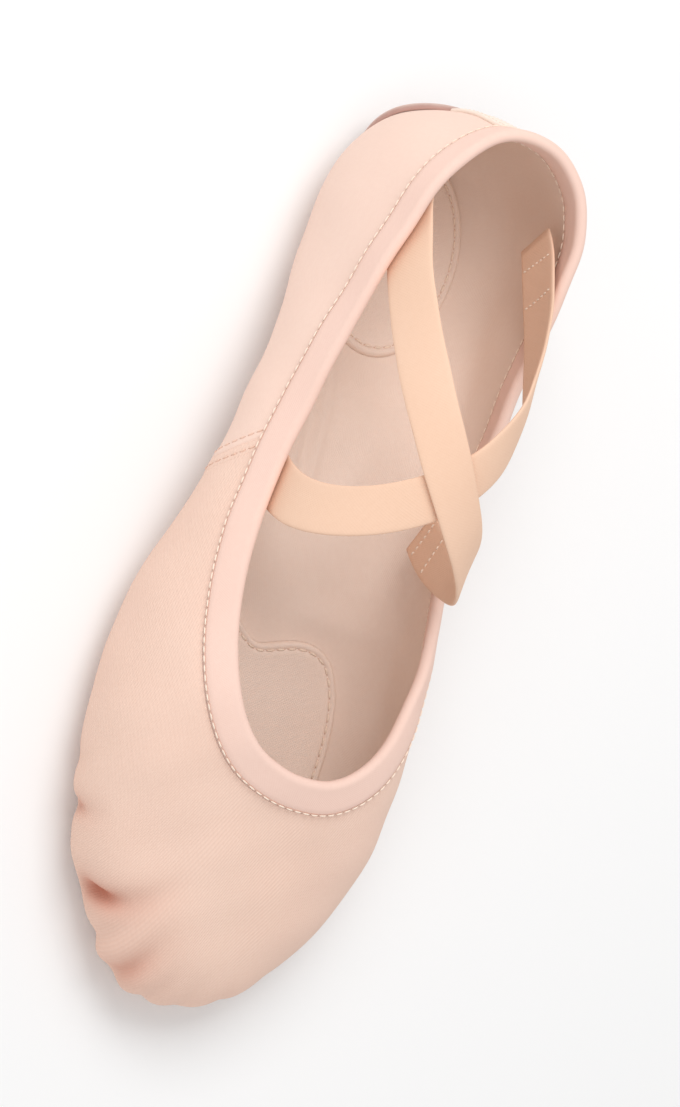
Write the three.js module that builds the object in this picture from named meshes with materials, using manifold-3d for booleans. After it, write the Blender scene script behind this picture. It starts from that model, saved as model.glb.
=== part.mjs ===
import * as THREE from 'three';
import { mergeVertices } from 'three/addons/utils/BufferGeometryUtils.js';
import Module from 'manifold-3d';

// Split-sole ballet slipper for a right foot, in stretch canvas with suede patches and crossed elastics.
// Millimetres, +Z up, toe towards +X, inner side of the foot towards +Y, standing on z = 0.

// Main sizes of the shoe
const length = 238;
const ballWidth = 85;
const heelWidth = 59;
const heelHeight = 61;
const sideHeight = 37;
const throatHeight = 46;
const archLift = 8.5;
const inflare = 5;

// Thickness of each material, and the clearance between sewn layers
const canvas = 1.4;
const suede = 1.6;
const padding = 1.5;
const bindingTape = 0.8;
const seamTape = 0.7;
const elastic = 1.1;
const clearance = 0.3;

// Widths and places of the sewn-on pieces
const bindingWidth = 7.5;
const heelTapeWidth = 16;
const archTapeWidth = 6;
const heelPatchLength = 36;
const heelPatchWidth = 40;
const heelPatchTilt = 40;
const solePatchWidth = 60;
const solePatchDip = 5;
const elasticWidth = 13;
const elasticStand = 5;
const instepHeight = 78;
const worn = 0.45;

// Places along the foot, as shares of the length from the heel
const solePatchRear = 0.600;
const solePatchFront = 0.955;
const solePadRear = 0.575;
const solePadFront = 0.925;
const heelPadRear = 0.035;
const heelPadFront = 0.270;
const elasticCross = 0.425;

// Where an elastic passes the collar and where its tail ends inside, in quarter turns from the crest
const elasticEnds = {
  rear: { along: 0.200, turn: 0.82, end: 1.05 },
  front: { along: 0.465, turn: 1.12, end: 1.38 },
};

// The last, as sections from the heel (first row) round either side to the toe (last row).
// along, edge and spine are shares of the length, at the widest line, the collar and the sole's middle line.
// outer, inner and collar are half breadths as shares of the local width, outerBelly and innerBelly the height
// of the widest line as shares of the heel height, and reach, drop and rise shape the wall between.
const sections = [
  { along: 0.000, outer: 0.000, inner: 0.000, edge: 0.030, collar: 0.000, spine: 0.105,
    outerBelly: 0.33, innerBelly: 0.33, reach: 0.10, drop: 0.36, rise: 0.42 },
  { along: 0.025, outer: 0.310, inner: 0.310, edge: 0.048, collar: 0.215, spine: 0.113,
    outerBelly: 0.33, innerBelly: 0.33, reach: 0.14, drop: 0.36, rise: 0.42 },
  { along: 0.100, outer: 0.490, inner: 0.490, edge: 0.112, collar: 0.375, spine: 0.152,
    outerBelly: 0.32, innerBelly: 0.33, reach: 0.30, drop: 0.34, rise: 0.40 },
  { along: 0.215, outer: 0.505, inner: 0.495, edge: 0.220, collar: 0.420, spine: 0.240,
    outerBelly: 0.29, innerBelly: 0.30, reach: 0.36, drop: 0.34, rise: 0.40 },
  { along: 0.350, outer: 0.485, inner: 0.455, edge: 0.348, collar: 0.400, spine: 0.360,
    outerBelly: 0.22, innerBelly: 0.27, reach: 0.40, drop: 0.32, rise: 0.40 },
  { along: 0.495, outer: 0.475, inner: 0.440, edge: 0.480, collar: 0.375, spine: 0.490,
    outerBelly: 0.20, innerBelly: 0.25, reach: 0.44, drop: 0.26, rise: 0.42 },
  { along: 0.635, outer: 0.497, inner: 0.475, edge: 0.598, collar: 0.345, spine: 0.620,
    outerBelly: 0.20, innerBelly: 0.25, reach: 0.50, drop: 0.16, rise: 0.45 },
  { along: 0.765, outer: 0.485, inner: 0.490, edge: 0.690, collar: 0.265, spine: 0.725,
    outerBelly: 0.20, innerBelly: 0.24, reach: 0.50, drop: 0.16, rise: 0.50 },
  { along: 0.880, outer: 0.385, inner: 0.405, edge: 0.734, collar: 0.160, spine: 0.790,
    outerBelly: 0.19, innerBelly: 0.21, reach: 0.46, drop: 0.30, rise: 0.48 },
  { along: 0.968, outer: 0.205, inner: 0.225, edge: 0.746, collar: 0.075, spine: 0.822,
    outerBelly: 0.19, innerBelly: 0.20, reach: 0.44, drop: 0.42, rise: 0.46 },
  { along: 1.000, outer: 0.000, inner: 0.000, edge: 0.749, collar: 0.000, spine: 0.832,
    outerBelly: 0.19, innerBelly: 0.19, reach: 0.44, drop: 0.46, rise: 0.46 },
];

// How finely the last is worked out
const columnsPerSection = 4;
const wallSteps = 40;
const soleSteps = 40;
const soleFullness = 2.7;

const last = sections.length - 1;
const columns = 2 * last * columnsPerSection;
const wasm = await Module();
wasm.setup();

const { smoothstep, lerp, degToRad } = THREE.MathUtils;

// Width of the foot bed at a place along the foot, from heel width to ball width
const widthAt = (x) => lerp(heelWidth, ballWidth, smoothstep(x / length, 0.15, 0.68));

// The middle line of the foot bends towards the inner side at the toe
const middleAt = (x) => inflare * (x / length) ** 2;

// Height of the collar: high at the heel, low at the side, and up again at the throat
const collarAt = (x) => sideHeight
  + (heelHeight - sideHeight) * (1 - smoothstep(x / length, -0.05, 0.46))
  + (throatHeight - sideHeight) * smoothstep(x / length, 0.46, 0.76);

// Height of the canvas under the foot: it lies on the suede at heel and ball, and lifts under the arch
const bedAt = (x) => suede + clearance - worn
  + archLift * smoothstep(x / length, 0.19, 0.36) * (1 - smoothstep(x / length, 0.42, 0.62));

// Smooth closed curve through evenly spaced values: a periodic cubic spline, whose bends settle by sweeps
function loopCurve(values) {
  const count = values.length;
  const bends = new Array(count).fill(0);
  for (let sweep = 0; sweep < 24; sweep += 1) {
    for (let i = 0; i < count; i += 1) {
      const before = (i + count - 1) % count;
      const after = (i + 1) % count;
      const turn = 6 * (values[before] - 2 * values[i] + values[after]);
      bends[i] = (turn - bends[before] - bends[after]) / 4;
    }
  }
  return (place) => {
    const i = Math.floor(place) % count;
    const after = (i + 1) % count;
    const t = place - Math.floor(place);
    const s = 1 - t;
    return s * values[i] + t * values[after] + ((s ** 3 - s) * bends[i] + (t ** 3 - t) * bends[after]) / 6;
  };
}

// The table's columns as closed curves: outer side from heel to toe, then inner side back to the heel
const around = sections.map((row) => ({ row, side: -1 }))
  .concat(sections.slice(1, last).reverse().map((row) => ({ row, side: 1 })));
const curves = {};
for (const name of ['along', 'edge', 'spine', 'reach', 'drop', 'rise']) {
  curves[name] = loopCurve(around.map(({ row }) => row[name]));
}
curves.out = loopCurve(around.map(({ row, side }) => side * (side < 0 ? row.outer : row.inner)));
curves.collar = loopCurve(around.map(({ row, side }) => side * row.collar));
curves.belly = loopCurve(around.map(({ row, side }) => (side < 0 ? row.outerBelly : row.innerBelly)));

// One line down the canvas, from the collar over the widest line to the middle of the sole
function wallLine(column) {
  const place = column / columnsPerSection;
  const value = (name) => curves[name](place);
  const edgeX = value('edge') * length;
  const bellyX = value('along') * length;
  const spineX = value('spine') * length;
  const edge = new THREE.Vector3(edgeX, value('collar') * widthAt(edgeX) + middleAt(edgeX), collarAt(edgeX));
  const belly = new THREE.Vector3(bellyX, value('out') * widthAt(bellyX) + middleAt(bellyX),
    value('belly') * heelHeight + bedAt(bellyX) - bedAt(0));
  const fall = edge.z - belly.z;
  const shoulder = edge.clone().lerp(belly, value('reach'));
  shoulder.z = edge.z - value('drop') * fall;
  const flank = new THREE.Vector3(belly.x, belly.y, belly.z + value('rise') * fall);
  const wall = new THREE.CubicBezierCurve3(edge, shoulder, flank, belly);
  const line = [];
  for (let step = 0; step < wallSteps; step += 1) {
    line.push(wall.getPoint(step / wallSteps));
  }
  const spine = new THREE.Vector3(spineX, middleAt(spineX), bedAt(spineX));
  for (let step = 0; step <= soleSteps; step += 1) {
    const angle = (step / soleSteps) * Math.PI / 2;
    const inward = 1 - Math.cos(angle) ** (2 / soleFullness);
    const down = Math.sin(angle) ** (2 / soleFullness);
    const point = belly.clone().lerp(spine, inward);
    point.z = lerp(belly.z, spine.z, down);
    line.push(point);
  }
  return line;
}

const lines = Array.from({ length: columns }, (_, column) => wallLine(column));
const steps = lines[0].length;

// Outward directions on the lines, shared by the two sides where they meet in the middle of the sole
const mirrorColumn = (column) => (columns - column) % columns;
function outwardAt(column, step) {
  const before = lines[(column + columns - 1) % columns][step];
  const after = lines[(column + 1) % columns][step];
  const above = lines[column][Math.max(step - 1, 0)];
  const below = lines[column][Math.min(step + 1, steps - 1)];
  const acrossWay = after.clone().sub(before);
  const downWay = below.clone().sub(above);
  return downWay.cross(acrossWay).normalize();
}
const outward = lines.map((line, column) => line.map((_, step) => (
  step === steps - 1 ? new THREE.Vector3(0, 0, -1) : outwardAt(column, step)
)));
const lengths = lines.map((line) => {
  const sums = [0];
  for (let step = 1; step < steps; step += 1) {
    sums.push(sums[step - 1] + line[step].distanceTo(line[step - 1]));
  }
  return sums;
});

// A point on the canvas line of a column: down from the collar edge, and out from the canvas's outer face
function skinPoint(column, down, out) {
  const line = lines[column];
  const sums = lengths[column];
  if (down <= 0) {
    const rise = line[0].clone().sub(line[1]).normalize().multiplyScalar(-down);
    return line[0].clone().add(rise).addScaledVector(outward[column][0], out);
  }
  let step = 1;
  while (step < steps - 1 && sums[step] < down) {
    step += 1;
  }
  const share = Math.min((down - sums[step - 1]) / (sums[step] - sums[step - 1]), 1);
  const normal = outward[column][step - 1].clone().lerp(outward[column][step], share).normalize();
  return line[step - 1].clone().lerp(line[step], share).addScaledVector(normal, out);
}

// Rows of the canvas mesh: the binding's two edges first, then shares of the line, closest at the widest line
const wallRows = 6;
const soleRows = 6;
function rowPlaces(column, firstDown) {
  const bellyDown = lengths[column][wallSteps];
  const total = lengths[column][steps - 1];
  const places = [firstDown];
  for (let row = 1; row <= wallRows; row += 1) {
    places.push(lerp(bindingWidth, bellyDown, 1 - (1 - row / wallRows) ** 1.5));
  }
  for (let row = 1; row <= soleRows; row += 1) {
    places.push(lerp(bellyDown, total, (row / soleRows) ** 1.3));
  }
  return places;
}

// A closed surface from numbered points and triangles, with shared points merged
function closedGeometry(points, triangles) {
  const geometry = new THREE.BufferGeometry();
  geometry.setAttribute('position', new THREE.Float32BufferAttribute(points.flatMap((p) => p.toArray()), 3));
  geometry.setIndex(triangles);
  return mergeVertices(geometry, 1e-4);
}

// Two triangles on four corners
const quad = (a, b, c, d) => [a, b, c, a, c, d];

// The canvas sock between two depths: an open bowl with a wall, closed along the middle of the sole
function bowl(outerDepth, innerDepth, rows) {
  const rowCount = rows[0].length;
  const points = rows.flatMap((places, column) => places.flatMap((down) => [
    skinPoint(column, down, outerDepth),
    skinPoint(column, down, innerDepth),
  ]));
  const number = (column, row, inside) => ((column % columns) * rowCount + row) * 2 + inside;
  const triangles = [];
  for (let column = 0; column < columns; column += 1) {
    const next = column + 1;
    for (let row = 0; row < rowCount - 1; row += 1) {
      const under = row + 1;
      triangles.push(
        ...quad(number(column, row, 0), number(column, under, 0), number(next, under, 0), number(next, row, 0)),
        ...quad(number(column, row, 1), number(next, row, 1), number(next, under, 1), number(column, under, 1)),
      );
    }
    triangles.push(...quad(number(column, 0, 0), number(next, 0, 0), number(next, 0, 1), number(column, 0, 1)));
  }
  return closedGeometry(points, triangles);
}
const sockRows = lines.map((_, column) => [0, ...rowPlaces(column, bindingWidth)]);
const sock = (outerDepth, innerDepth) => bowl(outerDepth, innerDepth, sockRows);

// A section carried along a path: rings of points, each joined to the next, either as a loop or with two ends.
// turned lists the section's sides whose four-cornered facets are split along their other diagonal.
function sweep(rings, loops, turned = []) {
  const size = rings[0].length;
  const count = rings.length;
  const number = (ring, i) => (ring % count) * size + (i % size);
  const triangles = [];
  for (let ring = 0; ring < (loops ? count : count - 1); ring += 1) {
    for (let i = 0; i < size; i += 1) {
      const corners = [number(ring, i), number(ring, i + 1), number(ring + 1, i + 1), number(ring + 1, i)];
      if (turned.includes(i)) {
        corners.push(corners.shift());
      }
      triangles.push(...quad(...corners));
    }
  }
  for (let i = 0; !loops && i < size / 2 - 1; i += 1) {
    const [near, far] = [i, size - 1 - i];
    const end = count - 1;
    triangles.push(
      ...quad(number(0, near), number(0, far), number(0, far - 1), number(0, near + 1)),
      ...quad(number(end, near), number(end, near + 1), number(end, far - 1), number(end, far)),
    );
  }
  return closedGeometry(rings.flat(), triangles);
}

// Solids for joining and cutting, and back
function solid(geometry) {
  const bare = mergeVertices(geometry.clone().deleteAttribute('normal').deleteAttribute('uv'), 1e-4);
  return new wasm.Manifold(new wasm.Mesh({
    numProp: 3,
    vertProperties: Float32Array.from(bare.attributes.position.array),
    triVerts: Uint32Array.from(bare.index.array),
  }));
}

function geometryOf(shape) {
  const { vertProperties, triVerts } = shape.getMesh();
  const geometry = new THREE.BufferGeometry();
  geometry.setAttribute('position', new THREE.Float32BufferAttribute(vertProperties, 3));
  geometry.setIndex(new THREE.Uint32BufferAttribute(triVerts, 1));
  return geometry;
}

const slipper = new THREE.Group();
const finishes = {
  canvas: { color: 0xf1cfbc, roughness: 0.9, metalness: 0 },
  suede: { color: 0xd6bbaf, roughness: 1, metalness: 0 },
  tape: { color: 0xf8e3d5, roughness: 0.85, metalness: 0 },
  lining: { color: 0xf3ddcf, roughness: 0.95, metalness: 0 },
  elastic: { color: 0xf6d2b5, roughness: 0.8, metalness: 0 },
};
function addPiece(name, geometry, finish) {
  geometry.computeVertexNormals();
  const piece = new THREE.Mesh(geometry, new THREE.MeshStandardMaterial(finishes[finish]));
  piece.name = name;
  slipper.add(piece);
}

// Upper: one canvas sock, open at the collar and throat, closed underneath
addPiece('upper', sock(0, -canvas), 'canvas');

// Binding: a tape folded over the collar edge, as far down inside as outside
function bindingRing(column) {
  const near = clearance;
  const far = clearance + bindingTape;
  const section = [
    [0, far], [bindingWidth, far], [bindingWidth, near], [0, near], [-near, 0],
    [-near, -canvas], [0, -canvas - near], [bindingWidth, -canvas - near], [bindingWidth, -canvas - far],
    [0, -canvas - far], [-0.75 * far, -canvas - 0.6 * far], [-far, -canvas / 2], [-0.75 * far, 0.6 * far],
  ];
  return section.map(([down, out]) => skinPoint(column, down, out));
}
addPiece('collar_binding', sweep(lines.map((_, column) => bindingRing(column)), true, [2]), 'tape');

// An upright cutter with a given outline, from the floor up
function uprightCutter(shape, height) {
  return solid(new THREE.ExtrudeGeometry(shape, { depth: height, bevelEnabled: false, curveSegments: 10 }));
}

// Outline of a pad under ball and toes: lobed at the rear, with a shallow dip in the middle, round at the toe
function forefootOutline(rear, front, width, dip) {
  const half = width / 2;
  const span = front - rear;
  const middle = middleAt((rear + front) / 2);
  const shape = new THREE.Shape();
  shape.moveTo(rear + dip, middle);
  shape.bezierCurveTo(rear, middle - half * 0.1, rear - dip * 0.6, middle - half * 0.5, rear + dip * 0.4,
    middle - half * 0.72);
  shape.bezierCurveTo(rear + dip * 2, middle - half * 1.0, rear + span * 0.3, middle - half, rear + span * 0.5,
    middle - half);
  shape.bezierCurveTo(rear + span * 0.8, middle - half, front, middle - half * 0.55, front, middle);
  shape.bezierCurveTo(front, middle + half * 0.55, rear + span * 0.8, middle + half, rear + span * 0.5,
    middle + half);
  shape.bezierCurveTo(rear + span * 0.3, middle + half, rear + dip * 2, middle + half * 1.0, rear + dip * 0.4,
    middle + half * 0.72);
  shape.bezierCurveTo(rear - dip * 0.6, middle + half * 0.5, rear, middle + half * 0.1, rear + dip, middle);
  return shape;
}
const bedHeight = heelHeight / 4;
const solePatchCutter = (grow) => uprightCutter(forefootOutline(
  solePatchRear * length - grow,
  solePatchFront * length + grow,
  solePatchWidth + 2 * grow,
  solePatchDip,
), bedHeight);

// Cutter of the heel patch: a round-cornered square that leans back, so that it wraps the back of the heel
function heelPatchCutter(grow) {
  const corners = 40;
  const outline = [];
  for (let i = 0; i < corners; i += 1) {
    const angle = (i / corners) * 2 * Math.PI;
    const round = (value) => Math.sign(value) * Math.abs(value) ** 0.6;
    outline.push(new THREE.Vector2(
      round(Math.cos(angle)) * (heelPatchLength / 2 + grow),
      round(Math.sin(angle)) * (heelPatchWidth / 2 + grow),
    ));
  }
  const tilt = degToRad(heelPatchTilt);
  const reach = heelPatchLength / 2;
  const block = new THREE.ExtrudeGeometry(new THREE.Shape(outline), { depth: heelPatchLength, bevelEnabled: false });
  block.translate(0, 0, reach / 2 - heelPatchLength);
  block.rotateY(tilt);
  block.translate(reach * Math.cos(tilt), 0, reach * Math.sin(tilt));
  return solid(block);
}

// What stands above the floor
function aboveFloor() {
  const box = new THREE.BoxGeometry(2 * length, 2 * ballWidth, heelHeight);
  box.translate(length / 2, 0, heelHeight / 2);
  return solid(box);
}

// Suede outsole patches: layers outside the canvas, cut to outline and worn flat where they stand
const suedeLayer = solid(sock(clearance + suede, clearance));
addPiece('forefoot_sole_patch', geometryOf(suedeLayer.intersect(solePatchCutter(0))), 'suede');
addPiece('heel_sole_patch', geometryOf(suedeLayer.intersect(heelPatchCutter(0)).intersect(aboveFloor())), 'suede');

// Tapes over the back seam and the seam under the arch, between the binding and the two patches
const tapeRows = lines.map((_, column) => rowPlaces(column, bindingWidth + clearance));
const tapeLayer = solid(bowl(clearance + seamTape, clearance, tapeRows))
  .subtract(heelPatchCutter(clearance))
  .subtract(solePatchCutter(2 * clearance));
function middleStrip(from, to, width) {
  const places = Array.from({ length: 9 }, (_, i) => lerp(from, to, i / 8));
  const edge = (side) => places.map((x) => new THREE.Vector2(x, middleAt(x) + side * width / 2));
  return new THREE.Shape([...edge(-1), ...edge(1).reverse()]);
}
const backStrip = uprightCutter(middleStrip(-heelPatchLength / 2, heelPatchLength / 3, heelTapeWidth), heelHeight);
const archStrip = uprightCutter(middleStrip(heelPatchLength / 2, solePatchRear * length + solePatchDip, archTapeWidth),
  bedHeight);
addPiece('heel_tape', geometryOf(tapeLayer.intersect(backStrip)), 'tape');
addPiece('arch_tape', geometryOf(tapeLayer.intersect(archStrip)), 'canvas');

// Insole pads: layers inside the canvas
const paddingLayer = solid(sock(-canvas - clearance, -canvas - clearance - padding));
const solePad = forefootOutline(solePadRear * length, solePadFront * length, solePatchWidth, solePatchDip);
addPiece('insole_forefoot', geometryOf(paddingLayer.intersect(uprightCutter(solePad, bedHeight))), 'lining');
const heelPad = new THREE.Shape();
const heelPadReach = (heelPadFront - heelPadRear) * length / 2;
heelPad.absellipse(heelPadRear * length + heelPadReach, 0, heelPadReach, heelPatchWidth / 2, 0, 2 * Math.PI);
addPiece('insole_heel', geometryOf(paddingLayer.intersect(uprightCutter(heelPad, bedHeight))), 'lining');

// Elastics lie on the instep, a round form that fills the collar and rises from throat to ankle
function collarEdgeY(x, side) {
  let column = 0;
  while (column < columns / 2 - 1 && lines[column + 1][0].x < x) {
    column += 1;
  }
  const share = (x - lines[column][0].x) / (lines[column + 1][0].x - lines[column][0].x);
  const edgeOf = (number) => lines[side < 0 ? number : mirrorColumn(number)][0].y;
  return lerp(edgeOf(column), edgeOf(column + 1), share);
}
const strapInset = canvas + clearance + bindingTape + clearance + elastic;
const instepBase = sideHeight + elasticStand;
const quarterTurnLength = (instepHeight - instepBase + heelWidth / 2 - strapInset) * Math.PI / 4;
const strapSteps = 34;
const strapStrips = 3;
const crestAt = (x) => instepHeight
  - (instepHeight - throatHeight) * (Math.max(x / length - 0.3, 0) / 0.45) ** 1.5;

// A point of the instep: turn counts quarter turns from the crest, negative to the outer side, and past one
// quarter the form goes straight down inside the shoe. out is measured from the form.
function instepPoint(x, turn, out) {
  const angle = THREE.MathUtils.clamp(turn, -1, 1) * Math.PI / 2;
  const outerEdge = collarEdgeY(x, -1) + strapInset;
  const innerEdge = collarEdgeY(x, 1) - strapInset;
  const half = (innerEdge - outerEdge) / 2;
  const height = crestAt(x) - instepBase;
  const slope = (crestAt(x + 1) - crestAt(x - 1)) / 2;
  const past = Math.max(Math.abs(turn) - 1, 0) * quarterTurnLength;
  const point = new THREE.Vector3(x, (outerEdge + innerEdge) / 2 + half * Math.sin(angle),
    instepBase + height * Math.cos(angle) - past);
  const away = new THREE.Vector3(-slope * Math.cos(angle) ** 2 / height, Math.sin(angle) / half,
    Math.cos(angle) / height);
  return point.addScaledVector(away.normalize(), out);
}

// A flat elastic from its rear end, on the given side, over the crest to its front end on the other side.
// Its place along the foot bends evenly through rear, crossing and front.
function elasticStrap(rearSide, step) {
  const { rear, front } = elasticEnds;
  const rise = (elasticCross - rear.along) / rear.turn;
  const fall = (front.along - elasticCross) / front.turn;
  const bend = (fall - rise) / (rear.turn + front.turn);
  const lean = rise + bend * rear.turn;
  const alongAt = (turn) => length * (elasticCross + lean * turn + bend * turn * turn);
  const rings = [];
  for (let i = 0; i <= strapSteps; i += 1) {
    const turn = lerp(-rear.end, front.end, i / strapSteps);
    const slant = Math.atan2(length * (lean + 2 * bend * turn), quarterTurnLength);
    const lift = step * (1 - smoothstep(Math.abs(turn), 0.2, 0.7));
    const across = Array.from({ length: strapStrips + 1 }, (_, j) => (j / strapStrips - 0.5) * elasticWidth);
    const side = (offset, out) => instepPoint(
      alongAt(turn) + offset * Math.cos(slant),
      -rearSide * (turn - offset * Math.sin(slant) / quarterTurnLength),
      lift + out,
    );
    const top = across.map((offset) => side(offset, elastic));
    const under = across.map((offset) => side(offset, 0)).reverse();
    rings.push([...top, ...under]);
  }
  return sweep(rearSide < 0 ? rings : rings.reverse(), false);
}
addPiece('elastic_under', elasticStrap(1, 0), 'elastic');
addPiece('elastic_over', elasticStrap(-1, elastic + 2 * clearance), 'elastic');

// Origin: on the floor, in the middle of the shoe's length and breadth
const extent = new THREE.Box3().setFromObject(slipper);
const centre = extent.getCenter(new THREE.Vector3());
slipper.position.set(-centre.x, -centre.y, -extent.min.z);

export default slipper;
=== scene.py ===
import math

import bmesh
import bpy
import numpy as np
from mathutils import Matrix, Vector


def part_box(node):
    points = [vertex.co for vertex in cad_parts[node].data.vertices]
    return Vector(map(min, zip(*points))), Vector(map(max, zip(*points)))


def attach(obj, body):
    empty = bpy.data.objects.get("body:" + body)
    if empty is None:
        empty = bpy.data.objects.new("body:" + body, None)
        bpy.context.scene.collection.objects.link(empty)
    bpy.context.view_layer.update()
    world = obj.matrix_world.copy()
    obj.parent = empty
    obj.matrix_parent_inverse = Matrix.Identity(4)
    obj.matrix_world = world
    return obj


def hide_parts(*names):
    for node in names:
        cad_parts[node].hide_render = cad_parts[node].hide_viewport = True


# Split-sole ballet slipper for a right foot: peach-pink stretch canvas, suede patches, crossed elastics.
# Metres, +Z up, toe towards +X, inner side of the foot towards +Y, standing on the floor at z = 0.
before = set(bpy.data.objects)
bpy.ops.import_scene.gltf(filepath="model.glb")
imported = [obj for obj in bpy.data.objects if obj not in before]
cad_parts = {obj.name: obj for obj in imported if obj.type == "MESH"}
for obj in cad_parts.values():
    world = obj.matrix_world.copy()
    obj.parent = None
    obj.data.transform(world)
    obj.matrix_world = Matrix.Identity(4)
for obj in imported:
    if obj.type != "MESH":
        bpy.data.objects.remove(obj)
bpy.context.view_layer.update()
mm = 0.001

# Upper, its form: a sock of stretch canvas, cut as a front piece and a rear piece and pulled over a last.
# It is open along collar and throat, and closed under the foot. Sections go from the heel to the toe.
length = 238 * mm
ball_width = 85 * mm
heel_width = 59 * mm
heel_height = 61 * mm
side_height = 37 * mm
throat_height = 46 * mm
arch_lift = 8.5 * mm
inflare = 5 * mm
canvas = 1.4 * mm
suede = 1.6 * mm
clearance = 0.3 * mm
worn = 0.45 * mm
sole_fullness = 2.7

# along, edge and spine are shares of the length, at the widest line, the collar and the sole's middle line.
# outer, inner and collar are half breadths as shares of the local width, outer_belly and inner_belly the
# height of the widest line as shares of the heel height, and reach, drop and rise shape the wall between.
section_names = "along outer inner edge collar spine outer_belly inner_belly reach drop rise".split()
section_rows = [
    (0.000, 0.000, 0.000, 0.030, 0.000, 0.105, 0.33, 0.33, 0.10, 0.36, 0.42),
    (0.025, 0.310, 0.310, 0.048, 0.215, 0.113, 0.33, 0.33, 0.14, 0.36, 0.42),
    (0.100, 0.490, 0.490, 0.112, 0.375, 0.152, 0.32, 0.33, 0.30, 0.34, 0.40),
    (0.215, 0.505, 0.495, 0.220, 0.420, 0.240, 0.29, 0.30, 0.36, 0.34, 0.40),
    (0.350, 0.485, 0.455, 0.348, 0.400, 0.360, 0.22, 0.27, 0.40, 0.32, 0.40),
    (0.495, 0.475, 0.440, 0.480, 0.375, 0.490, 0.20, 0.25, 0.44, 0.26, 0.42),
    (0.635, 0.497, 0.475, 0.598, 0.345, 0.620, 0.20, 0.25, 0.50, 0.16, 0.45),
    (0.765, 0.485, 0.490, 0.690, 0.265, 0.725, 0.20, 0.24, 0.50, 0.16, 0.50),
    (0.880, 0.385, 0.405, 0.734, 0.160, 0.790, 0.19, 0.21, 0.46, 0.30, 0.48),
    (0.968, 0.205, 0.225, 0.746, 0.075, 0.822, 0.19, 0.20, 0.44, 0.42, 0.46),
    (1.000, 0.000, 0.000, 0.749, 0.000, 0.832, 0.19, 0.19, 0.44, 0.46, 0.46),
]
sections = dict(zip(section_names, np.array(section_rows).T))
loop = 2 * len(section_rows) - 2
toe = loop / 2


def smoothstep(value, low, high):
    """0 below low, 1 above high, and 3tt - 2ttt between them, with t the share of the way."""
    t = np.clip((value - low) / (high - low), 0, 1)
    return t * t * (3 - 2 * t)


def unit(vectors):
    """Each vector divided by its length."""
    return vectors / np.maximum(np.linalg.norm(vectors, axis=-1, keepdims=True), 1e-12)


def width_at(x):
    """Width of the foot bed: from heel width to ball width by a smooth step along the foot."""
    return heel_width + (ball_width - heel_width) * smoothstep(x / length, 0.15, 0.68)


def middle_at(x):
    """The middle line bends towards the inner side by the square of the way to the toe."""
    return inflare * (x / length) ** 2


def collar_at(x):
    """Height of the collar: high at the heel, low at the side, and up again at the throat."""
    heel_rise = (heel_height - side_height) * (1 - smoothstep(x / length, -0.05, 0.46))
    return side_height + heel_rise + (throat_height - side_height) * smoothstep(x / length, 0.46, 0.76)


def bed_at(x):
    """Height of the canvas under the foot: on the suede at heel and ball, and lifted under the arch."""
    arch = smoothstep(x / length, 0.19, 0.36) * (1 - smoothstep(x / length, 0.42, 0.62))
    return suede + clearance - worn + arch_lift * arch


def loop_curve(values, places):
    """Smooth closed curve through evenly spaced values, a periodic cubic spline: a straight share of the two
    neighbours plus a cubic that bends by their second derivatives, which one linear system gives."""
    count = len(values)
    ring = np.eye(count)
    system = 4 * ring + np.roll(ring, 1, 0) + np.roll(ring, -1, 0)
    bends = np.linalg.solve(system, 6 * (np.roll(values, 1) - 2 * values + np.roll(values, -1)))
    before = np.floor(places).astype(int) % count
    after = (before + 1) % count
    t = places - np.floor(places)
    s = 1 - t
    bent = ((s**3 - s) * bends[before] + (t**3 - t) * bends[after]) / 6
    return s * values[before] + t * values[after] + bent


def last_lines(places, wall_steps, sole_steps):
    """Lines down the outside of the last at places round the loop: a cubic Bezier curve from the collar edge
    to the widest line, then a quarter of a superellipse to the middle of the sole."""
    def both_sides(outer, inner):
        """A smooth curve round the loop, through the outer side's values and then the inner side's."""
        return loop_curve(np.concatenate([sections[outer], sections[inner][-2:0:-1]]), places)[:, None]

    side = np.sign(np.arange(loop) - toe)
    value = {name: both_sides(name, name) for name in ("along", "edge", "spine", "reach", "drop", "rise")}
    out = loop_curve(side * np.concatenate([sections["outer"], sections["inner"][-2:0:-1]]), places)[:, None]
    collar = loop_curve(side * np.concatenate([sections["collar"], sections["collar"][-2:0:-1]]), places)
    edge_x, belly_x, spine_x = [value[name] * length for name in ("edge", "along", "spine")]
    edge_y = collar[:, None] * width_at(edge_x) + middle_at(edge_x)
    belly_y = out * width_at(belly_x) + middle_at(belly_x)
    belly_z = both_sides("outer_belly", "inner_belly") * heel_height + bed_at(belly_x) - bed_at(0)
    edge = np.stack([edge_x, edge_y, collar_at(edge_x)], -1)
    belly = np.stack([belly_x, belly_y, belly_z], -1)
    spine = np.stack([spine_x, middle_at(spine_x), bed_at(spine_x)], -1)
    fall = edge[..., 2] - belly_z
    shoulder = edge + (belly - edge) * value["reach"][..., None]
    shoulder[..., 2] = edge[..., 2] - value["drop"] * fall
    flank = belly.copy()
    flank[..., 2] += value["rise"] * fall
    t = np.linspace(0, 1, wall_steps, endpoint=False)[None, :, None]
    wall = (1 - t) ** 3 * edge + 3 * (1 - t) ** 2 * t * shoulder + 3 * (1 - t) * t**2 * flank + t**3 * belly
    angle = np.linspace(0, math.pi / 2, sole_steps + 1)
    inward = 1 - np.cos(angle).clip(0) ** (2 / sole_fullness)
    down = np.sin(angle) ** (2 / sole_fullness)
    sole = belly + (spine - belly) * np.stack([inward, inward, down], -1)[None]
    return np.concatenate([wall, sole], axis=1)


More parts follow.
